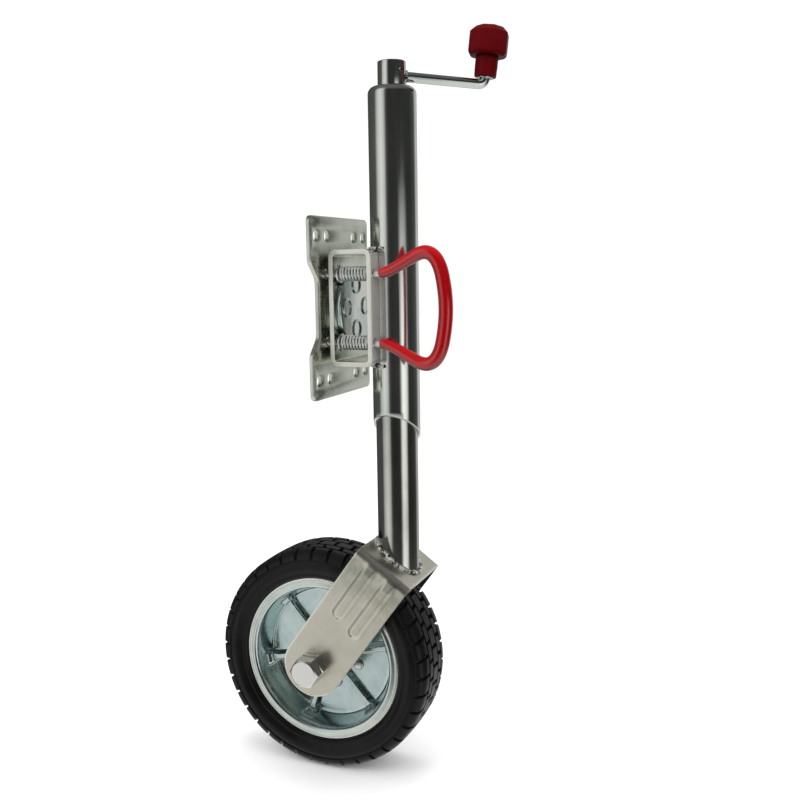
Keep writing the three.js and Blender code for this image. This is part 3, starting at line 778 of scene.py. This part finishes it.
def knob():
    """Eight-sided head with soft moulded edges on a round, slightly tapered neck."""
    seat, neck_height, head_height = 7.3, 21, 30.5
    top = seat + neck_height + head_height
    base = seat + neck_height
    rows = [(18.5, base), (21.1, base + 2.2), (21.6, base + 5),
            (21.6, top - 6.5), (15.4, top - 0.6), (13, top)]
    points = []
    for r, z in rows:
        points += [Vector((r * math.cos(TAU * k / 8), r * math.sin(TAU * k / 8), z)) * MM for k in range(8)]
    faces = grid_faces(len(rows), 8, False, True)
    faces += [tuple(range(8)), tuple(len(points) - 8 + k for k in range(8))]
    head = bevelled(outward(from_faces("knob_head", points, faces)), 0.8 * MM, 3, 12)
    neck = turned("knob_neck", rounded_profile([
        (0.01, seat, 0), (11.6, seat, 1), (12, seat + 10, 6), (12, base + 3, 0), (0.01, base + 3, 0),
    ], 4), 64)
    carved(head, neck, operation="UNION")
    bore = turned("bore_cut", [(0, 0), (5.9, 0), (5.9, seat + 37), (0, seat + 37)], 40)
    carved(head, bore)
    show(placed(smooth(head, 32), on_spindle()), "knob", "red_knob", "red_knob", "crank_knob")
    washer = ring("washer_knob", 9, 5.9, 6.25, 7.1, 0.2, 48)
    show(placed(washer, on_spindle()), "crank", "bright", "steel", "knob_washer")


# ---- leg and fork ----
def inner_tube():
    r = LEG_R / MM
    bore = r - 2.75
    low = AXLE.z / MM + 60

    def web_cut(point):
        if point.z < (low + 1) * MM:
            slope = math.tan(FORK_TILT)
            foot = AXLE.z + (WEB_UP + 0.3 * MM) / math.cos(FORK_TILT)
            point.z = foot - slope * (TUBE_X + point.x - AXLE.x)
        return point

    profile = [(r, low), (r, -240), (r, -150), (r, 0), (r, 57.6), (r - 0.4, 58), (r - 2.4, 58), (bore, 57.6),
               (bore, -240), (bore, low)]
    tube = placed(turned("tube_inner", profile, 128, web_cut), TO_TUBE)
    show(tube, "leg", "leg_chrome", "chrome", "inner_tube")


def fork_spine():
    """The channel's outer line from one leg's foot over the web to the other's.

    Each point is (y, z, outward y, outward z).
    """
    bend = FORK_BEND
    left = [(-FORK_HALF_Y, z, -1, 0) for z in fork_heights()]
    corner = []
    for k in range(1, 12):
        a = math.pi / 2 * k / 12
        corner.append((-FORK_HALF_Y + bend - bend * math.cos(a), WEB_UP - bend + bend * math.sin(a),
                       -math.cos(a), math.sin(a)))
    half_web = FORK_HALF_Y - bend
    web = [(-half_web + half_web * k / 12, WEB_UP, 0, 1) for k in range(13)]
    half = left + corner + web
    mirrored = [(-y, z, -out_y, out_z) for y, z, out_y, out_z in half[-2::-1]]
    return half + mirrored


def fork_heights():
    foot = [-FORK_HALF_W * math.cos(math.pi / 2 * k / 24) for k in range(24)]
    rise = WEB_UP - FORK_BEND
    return foot + [rise * k / 96 for k in range(97)]


def rib_height(x, z):
    """Two ribs pressed outward, fading into the fold above and ending in a round nose below."""
    tallest = 0.0
    for centre, nose in ((-11.5 * MM, 74 * MM), (15 * MM, 69 * MM)):
        above = min(z, WEB_UP) - nose
        away = abs(x - centre) if above > 0 else math.hypot(x - centre, above)
        flank = clamped((9.2 * MM - away) / (5.8 * MM))
        tallest = max(tallest, eased(flank))
    fade = clamped((WEB_UP - 2 * MM - z) / (16 * MM))
    return tallest * fade * 2.0 * MM


def fork():
    columns = 56
    points = []
    spine = fork_spine()
    for y, z, out_y, out_z in spine:
        half = FORK_HALF_W if z >= 0 else math.sqrt(max(FORK_HALF_W ** 2 - z * z, 0))
        for k in range(columns + 1):
            x = half * (2 * k / columns - 1)
            lift = rib_height(x, z) * abs(out_y)
            points.append(Vector((x, y + out_y * lift, z + out_z * lift * 0.2)))
    channel = from_faces("fork_channel", points, grid_faces(len(spine), columns + 1))
    outward(channel)
    if channel.data.polygons[len(channel.data.polygons) // 2].normal.z < 0:
        channel.data.flip_normals()
    modified(channel, "SOLIDIFY", thickness=FORK_SHEET, offset=-1, use_even_offset=True)
    bevelled(outward(channel), 0.6 * MM, 2, 50)
    show(placed(smooth(channel, 40), ON_FORK), "leg", "fork_zinc", "fork_zinc", "fork")


def fork_weld():
    """The bead where the inner tube stands on the slanting web."""
    loop = []
    for k in range(121):
        a = TAU * k / 120
        r = LEG_R + 1.3 * MM
        x, y = TUBE_X + r * math.cos(a), r * math.sin(a)
        z = AXLE.z + WEB_UP / math.cos(FORK_TILT) - math.tan(FORK_TILT) * (x - AXLE.x)
        loop.append(Vector((x, y, z + 1.2 * MM)))
    bead("weld_fork", loop, "leg", 2.5)


# ---- axle ----
def hex_blank(name, across, y0, y1, chamfer_low, chamfer_high):
    """A hexagon along Y, with a turned chamfer on the ends that have one."""
    body = hex_prism(name, across, y0, y1)
    flat, corner = across / 2 - 1.2, across / 2 + 4
    drop = 4
    profile = [(0, y0), (flat if chamfer_low else corner, y0), (corner, y0 + drop if chamfer_low else y0)]
    profile += [(corner, y1 - drop if chamfer_high else y1), (flat if chamfer_high else corner, y1), (0, y1)]
    clean = [p for i, p in enumerate(profile) if i == 0 or p != profile[i - 1]]
    crown = turned("crown_cut", clean, 96)
    carved(body, crown, operation="INTERSECT")
    return body


def axle_parts():
    low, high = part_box("axle_bolt")
    foot, tip = low.y / MM, high.y / MM
    turn = Matrix.Rotation(math.radians(3), 4, "Z")
    to_y = TO_AXLE @ ABOUT_Y
    head_height, thread_pitch, thread_from = 13, 1.5, 52
    head = hex_blank("bolt_head", BOLT_ACROSS, foot, foot + head_height, True, False)
    bevelled(head, 0.3 * MM, 2, 20)
    show(placed(smooth(head, 25), to_y @ turn), "leg", "bright", "chrome", "axle_bolt")
    profile = thread_profile(BOLT_R, foot + head_height - 0.5, tip, thread_pitch, thread_from)
    show(placed(turned("bolt_shank", profile, 64), to_y), "leg", "bright", "chrome")
    hole = BOLT_R + 0.1
    for node, ends in (("axle_collar", (True, False)), ("axle_nut", (True, True))):
        near, far = (corner.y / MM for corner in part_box(node))
        nut = hex_blank(node + "_hex", BOLT_ACROSS, near, far, *ends)
        carved(nut, turned("bore_cut", [(0, near - 5), (hole, near - 5), (hole, far + 5), (0, far + 5)], 64))
        bevelled(nut, 0.3 * MM, 2, 20)
        show(placed(smooth(nut, 25), to_y @ turn), "leg", "bright", "chrome", node)
    for node in ("axle_washer_far", "axle_spacer_near", "axle_spacer_far"):
        near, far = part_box(node)
        radius = (far.x - near.x) / 2 / MM
        washer = ring(node + "_fine", radius, BOLT_R + 0.3, near.y / MM, far.y / MM, 0.35, 72)
        show(placed(washer, to_y), "leg", "zinc", "zinc", node)


def thread_profile(r, z0, z1, pitch, thread_from):
    """A bolt shank's profile, with thread ridges from thread_from to its end."""
    profile = [(0, z0), (r, z0), (r, thread_from)]
    root = r - 0.7
    z = thread_from
    while z + pitch < z1 - 1:
        profile += [(root, z + pitch * 0.35), (root, z + pitch * 0.5), (r, z + pitch * 0.85), (r, z + pitch)]
        z += pitch
    return [*profile, (r - 0.8, z1 - 0.6), (r - 1.6, z1), (0, z1)]


# ---- wheel ----
LUGS = 38
LUG_STEPS = 20
# Rows of blocks on each side of the middle: from, to, and the shift round the tyre in lugs.
TREAD_ROWS = [(0, 6.2, 0.0), (8.6, 16.6, 0.5), (19, 40, 0.0)]
SLIT_DEPTH = 4.2
SLIT = 0.15  # share of a lug's length that is the slit before it


def tread_depth(share, y):
    """How far below the tread's face a point is; share is its place round the tyre, counted in lugs."""
    across = abs(y)
    for low, high, shift in TREAD_ROWS:
        if low <= across <= high:
            part = (share + shift + across * 0.008) % 1
            return 0.0 if part > SLIT else SLIT_DEPTH
    return SLIT_DEPTH


def tyre_profile():
    """Half of the tyre's section from the crown to the bead, as (radius, y), in millimetres."""
    top = TYRE_R / MM
    rows = (0, 3, 6.0, 6.6, 8.2, 8.8, 12, 16.3, 17, 18.6, 19.4, 22, 25)
    crown = [(top - 0.0012 * y * y, y) for y in rows]
    shoulder = [(top - 1.4, 27.4), (top - 2.4, 29.6), (top - 4, 31.7), (top - 6, 33.4), (top - 8.2, 34.6)]
    shoulder += [(top - 10, 35.0), (top - 11.6, 35.0)]
    wall = [(116.2, 34.2), (115.0, 34.4), (114.0, 35.4), (112, 35.9), (109, 36.0), (106.4, 35.6), (104, 34.7),
            (101.8, 33.2), (100.2, 32.6), (98.8, 32.9), (97.6, 32.4), (96.8, 31.2), (95.9, 30.6),
            (95.2, 29.6), (95.2, 27.2), (88.0, 27.0)]
    return crown, shoulder, wall


def tyre():
    """Solid rubber: rows of tread blocks, shoulder lugs running over on to the wall, and a smooth wall."""
    crown, shoulder, wall = tyre_profile()
    half = crown + shoulder + wall
    section = [(r, -y) for r, y in half[:0:-1]] + half + [(79.4, 1), (79.4, -1)]
    foot = shoulder[-1][0]
    segments = LUGS * LUG_STEPS
    points = []
    for k in range(segments):
        angle = TAU * k / segments
        for r, y in section:
            reach = r - tread_depth(k / LUG_STEPS, y) * clamped((r - foot) / 4)
            points.append(Vector((reach * math.cos(angle), y, reach * math.sin(angle))) * MM)
    obj = outward(from_faces("tyre_tread", points, grid_faces(segments, len(section), True, True)))
    show(placed(smooth(obj, 38), TO_AXLE), "wheel", "tyre", "tyre", "tyre")


RIB_ANGLES = [math.radians(12 + 60 * k) for k in range(6)]
RIB_HEIGHT = 7.0
WELL_R = 77  # millimetres to the foot of the well's wall, where the ribs end
LIP_FROM = 87 * MM
RIM_SHEET = 2.2 * MM


def from_rib(angle, rib):
    """The angle past a rib, between minus and plus half a turn."""
    return (angle - rib + math.pi) % TAU - math.pi


def rib_lift(r, angle):
    """A radial rib pressed outward from the disc, flaring where it runs into the well's wall."""
    best = 0.0
    for rib in RIB_ANGLES:
        turn = from_rib(angle, rib)
        if abs(turn) > 0.9:
            continue
        along, away = r * math.cos(turn), abs(r * math.sin(turn))
        flare = clamped((along - 66) / 10)
        half = 2.3 + 2.4 * flare * flare
        side = clamped((half + 3.4 - away) / 3.4)
        start = clamped((along - 19) / 6)
        best = max(best, (0.6 * side + 0.4 * side * side * (3 - 2 * side)) * start)
    return best


def rib_boss(angle, y):
    """The knuckle at a rib's outer end, standing in from the well's wall."""
    away = min(abs(from_rib(angle, rib)) for rib in RIB_ANGLES) * WELL_R
    flank = clamped((8.5 - away) / 2.4)
    crest = clamped((15.5 - y) / 3.5)
    return 2.6 * flank * crest


def rim_half(side, node):
    """One pressed half: hub flat, dished disc with six ribs, conical well and rolled lip."""
    lip_r = LIP_R / MM
    inner = [(15.6 + 2.95 * k, 2.9) for k in range(21)]
    inner += [(75.6, 3.3), (76.3, 4.6), (76.9, 7), (77.5, 9), (78.1, 11), (78.8, 13.4), (79.6, 16),
              (81.2, 21.5), (82.6, 26), (83.6, 28.2), (85.0, 29.6), (86.6, 30.0), (88.4, 29.7),
              (90.2, 29.0), (92, 29.2), (93.4, 29.4), (lip_r, 28.9), (lip_r, 27.8), (93.2, 27.4)]
    segments = 720
    points = []
    for k in range(segments):
        angle = TAU * k / segments
        for r, y in inner:
            lift = rib_lift(r, angle) * RIB_HEIGHT * clamped((79.5 - r) / 3.4) if r < 80 else 0.0
            reach = r - rib_boss(angle, y + lift) if 76 < r < 81 else r
            points.append(Vector((reach * math.cos(angle), side * (y + lift), reach * math.sin(angle))) * MM)
    obj = from_faces(f"rim_{node}_fine", points, grid_faces(segments, len(inner), True))
    with edited(obj) as b:
        bmesh.ops.recalc_face_normals(b, faces=b.faces)
        facing = sum(face.normal.y * side for face in b.faces if face.calc_center_median().length < 60 * MM)
        if facing < 0:
            bmesh.ops.reverse_faces(b, faces=b.faces)
    modified(obj, "SOLIDIFY", thickness=RIM_SHEET, offset=-1)
    show(placed(smooth(obj, 50), TO_AXLE), "wheel", "rim_zinc", "rim_zinc", f"rim_{node}")
    obj.data.materials.append(MATERIAL["lip"])
    for face in obj.data.polygons:
        out = face.center - AXLE
        face.material_index = 1 if math.hypot(out.x, out.z) > LIP_FROM else 0


def wheel_fittings():
    to_y = TO_AXLE @ ABOUT_Y
    show(placed(ring("hub_sleeve", 15, 12.4, -36, 36, 0.4, 72), to_y), "wheel", "zinc", "zinc", "hub_tube")
    for label, side in (("near", -1), ("far", 1)):
        bush = turned(f"bush_{label}", rounded_profile([
            (10.3, 20, 0.3), (12.1, 20, 0.3), (12.1, 36.3, 0),
            (16, 36.3, 0.5), (16, 39, 0.7), (10.3, 39, 0.5),
        ], 3), 64)
        spin = Matrix.Rotation(math.pi if side < 0 else 0, 4, "X")
        show(placed(bush, to_y @ spin), "wheel", "nylon", "nylon", f"hub_bush_{label}")
    for k in range(6):
        node = f"rim_rivet_{k + 1}"
        head = [(0.01, -5.8, 0), (4.4, -5.7, 1.2), (5.6, -4.4, 0.7), (5.6, -3, 0.1), (3.5, -3, 0)]
        rivet = turned(f"wheel_{node}", rounded_profile(head + [(r, -z, f) for r, z, f in head[::-1]], 4), 40)
        centre = middle(node)
        show(placed(rivet, Matrix.Translation(centre) @ ABOUT_Y), "wheel", "bright", "zinc", node)


# ---- pull handle ----
PIN_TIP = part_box("handle_rod")[0].x / MM
HANDLE_HALF = [(72, 37.2), (86, 43), (98, 49.6), (110, 55.6), (119, 56.4), (127, 51), (133, 39), (136.8, 19)]


def handle_path():
    upper = [(PIN_TIP, PIN_OFFSET), (30, PIN_OFFSET), (60, PIN_OFFSET), *HANDLE_HALF]
    both = [*upper, (138, 0), *[(x, -z) for x, z in upper[::-1]]]
    return smooth_path([Vector((x * MM, PIN.y, z * MM)) for x, z in both], 10)


def handle():
    path = handle_path()
    rod = swept("pull_rod", path, lambda _: 4.5 * MM, 24, 0.5)
    show(rod, "handle", "bright", "chrome", "handle_rod")
    bow = [p for p in path if p.x > 66.8 * MM]

    def grip_radius(share):
        """Thin where the coat starts, thickest round the bow."""
        from_end = min(share, 1 - share)
        grow = min(1.0, from_end / 0.3)
        lip = min(1.0, from_end / 0.012)
        return (5.0 + 0.5 * math.sqrt(lip) + 1.9 * grow * grow * (3 - 2 * grow)) * MM

    show(swept("pull_grip", bow, grip_radius, 40, 0.25), "handle", "red_grip", "red_grip", "handle_grip")
    for label, side in (("upper", 1), ("lower", -1)):
        pin_parts(label, side)


def pin_parts(label, side):
    """The spring and its washer, on one lock pin."""
    line = pin_line(side)
    low, high = (corner.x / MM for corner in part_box(f"pin_washer_{label}"))
    washer = ring(f"washer_{label}", 9.5, 4.6, low, high, 0.3, 64)
    show(placed(washer, line), "handle", "bright", "zinc", f"pin_washer_{label}")
    spring_node = f"pin_spring_{label}"
    first, last = (corner.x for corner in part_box(spring_node))
    coil = swept(f"spring_{label}", coil_path(first, last, side), lambda _: 1.0 * MM, 12, 0.2)
    show(coil, "jack", "spring", "chrome", spring_node)
    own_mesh(coil)


def coil_path(first, last, side):
    """A compression spring's wire, with its end turns closed up."""
    wire, turns, mean = 1.0 * MM, 9.5, 7 * MM
    dead = 1.0  # closed turns at each end
    path = []
    count = 340
    for k in range(count + 1):
        turn = turns * k / count
        live = clamped((turn - dead) / (turns - 2 * dead))
        ends = 2 * wire * (min(turn, dead) + max(turn - turns + dead, 0.0))
        x = first + wire + ends + live * (last - first - 2 * wire - 4 * wire * dead)
        angle = TAU * turn
        path.append(Vector((x, PIN.y + mean * math.cos(angle), side * PIN.z + mean * math.sin(angle))))
    return path


# ---- pieces that keep their CAD shape ----
def inner_works():
    looks = {"bearing_race_upper": "steel", "bearing_balls": "bright", "bearing_race_lower": "steel",
             "drive_screw": "steel", "lift_nut": "brass", "nut_ring": "steel"}
    for node, look in looks.items():
        obj = frame["nodes"][node]
        obj.data.materials.clear()
        obj.data.materials.append(MATERIAL[look])


# ---- studio ----
def floor():
    size = 30.0
    points = [Vector((x * size, y * size, AXLE.z - TYRE_R)) for x, y in ((-1, -1), (1, -1), (1, 1), (-1, 1))]
    obj = from_faces("studio_floor", points, [(0, 1, 2, 3)])
    obj.data.materials.append(floor_white())
    obj.visible_glossy = False
    obj.visible_diffuse = False


def area_light(name, location, target, size, power, tint=(1, 1, 1)):
    data = bpy.data.lights.new(name, "AREA")
    data.shape = "RECTANGLE"
    data.size, data.size_y = size
    data.energy = power
    data.color = tint
    obj = new_object(name, data)
    obj.location = location
    obj.rotation_euler = (Vector(target) - Vector(location)).to_track_quat("-Z", "Y").to_euler()
    obj.visible_glossy = False


def greys(stops):
    return [(position, (level, level, level * 0.98)) for position, level in stops]


def studio_world():
    """A white studio for the camera; reflections see soft bright panels between darker walls."""
    world = bpy.data.worlds.new("studio")
    bpy.context.scene.world = world
    w = Tree(world)
    w.tree.nodes.clear()
    direction = w.new("TexCoord").outputs["Generated"]
    x, y, z = w.new("SeparateXYZ", direction).outputs
    turn = w.new("Math", x, y, operation="ARCTAN2").outputs[0]
    around = w.levels(turn, 0, 1, -math.pi, math.pi)
    walls = w.ramp(around, greys(PANEL_STOPS))
    strip = w.ramp(around, greys(STRIP_STOPS))
    low_strip = w.mix(w.levels(z, 0, 1, 0.10, -0.07), (0, 0, 0, 1), strip)
    walls = w.mix(1.0, walls, low_strip, "ADD")
    walls = w.mix(w.levels(z, 0, 1, 0.5, 0.85), walls, (0.14, 0.14, 0.14, 1))
    walls = w.mix(w.levels(z, 0, 1, -0.3, -0.75), walls, (0.85, 0.85, 0.83, 1))
    path = w.new("LightPath").outputs
    soft = w.mix(w.levels(z, 0, 1, 0.2, -0.3), WHITE, (0.1, 0.1, 0.1, 1))
    colour = w.mix(path["Is Camera Ray"], soft, WHITE)
    colour = w.mix(path["Is Glossy Ray"], colour, walls)
    w.new("OutputWorld", w.new("Background", colour).outputs[0])


WHITE = (1.06, 1.06, 1.06, 1)
# Reflected wall brightness round the horizon: share of a turn from -Y by way of -X, and level.
PANEL_STOPS = [
    (0.0, 0.03), (0.03, 0.08), (0.055, 0.6), (0.10, 0.9), (0.155, 0.6), (0.19, 0.09),
    (0.40, 0.06), (0.455, 0.5), (0.57, 0.62), (0.61, 0.09), (0.70, 0.035), (0.98, 0.03),
]
# The same for a bright strip that is seen low down only.
STRIP_STOPS = [(0.765, 0.0), (0.80, 1.0), (0.85, 1.25), (0.89, 0.0)]


def lights():
    area_light("key", (-1.4, -2.2, 1.6), (0, 0, -0.1), (1.2, 1.6), 26)
    area_light("fill", (2.2, -1.2, 0.8), (0, 0, -0.2), (0.8, 1.8), 14)
    area_light("top", (0.0, 0.3, 2.4), (0, 0, 0), (1.6, 1.6), 20)


def camera():
    """A little above the wheel, looking along +Y, towards -X and slightly down."""
    data = bpy.data.cameras.new("camera")
    data.lens = 42.75
    data.sensor_width = 36
    data.clip_start = 0.05
    data.clip_end = 100
    obj = new_object("camera", data)
    turn, down, roll = math.radians(22.24), math.radians(8.07), math.radians(-0.843)
    forward = Vector((-math.sin(turn) * math.cos(down), math.cos(turn) * math.cos(down), -math.sin(down)))
    right = Vector((math.cos(turn), math.sin(turn), 0))
    up = right.cross(forward)
    side = right * math.cos(roll) + up * math.sin(roll)
    top = up * math.cos(roll) - right * math.sin(roll)
    basis = Matrix((side, top, -forward)).transposed().to_4x4()
    basis.translation = Vector((457.9, -944.0, 44.0)) * MM
    obj.matrix_world = basis
    bpy.context.scene.camera = obj


def main():
    camera()
    mount_plate()
    pivot()
    bracket()
    outer_tube()
    bracket_welds()
    crank_hub()
    crank_arm()
    knob()
    inner_tube()
    fork()
    fork_weld()
    axle_parts()
    tyre()
    rim_half(-1, "near")
    rim_half(1, "far")
    wheel_fittings()
    handle()
    inner_works()
    floor()
    lights()
    studio_world()
    bpy.context.scene.view_settings.view_transform = "Standard"


main()
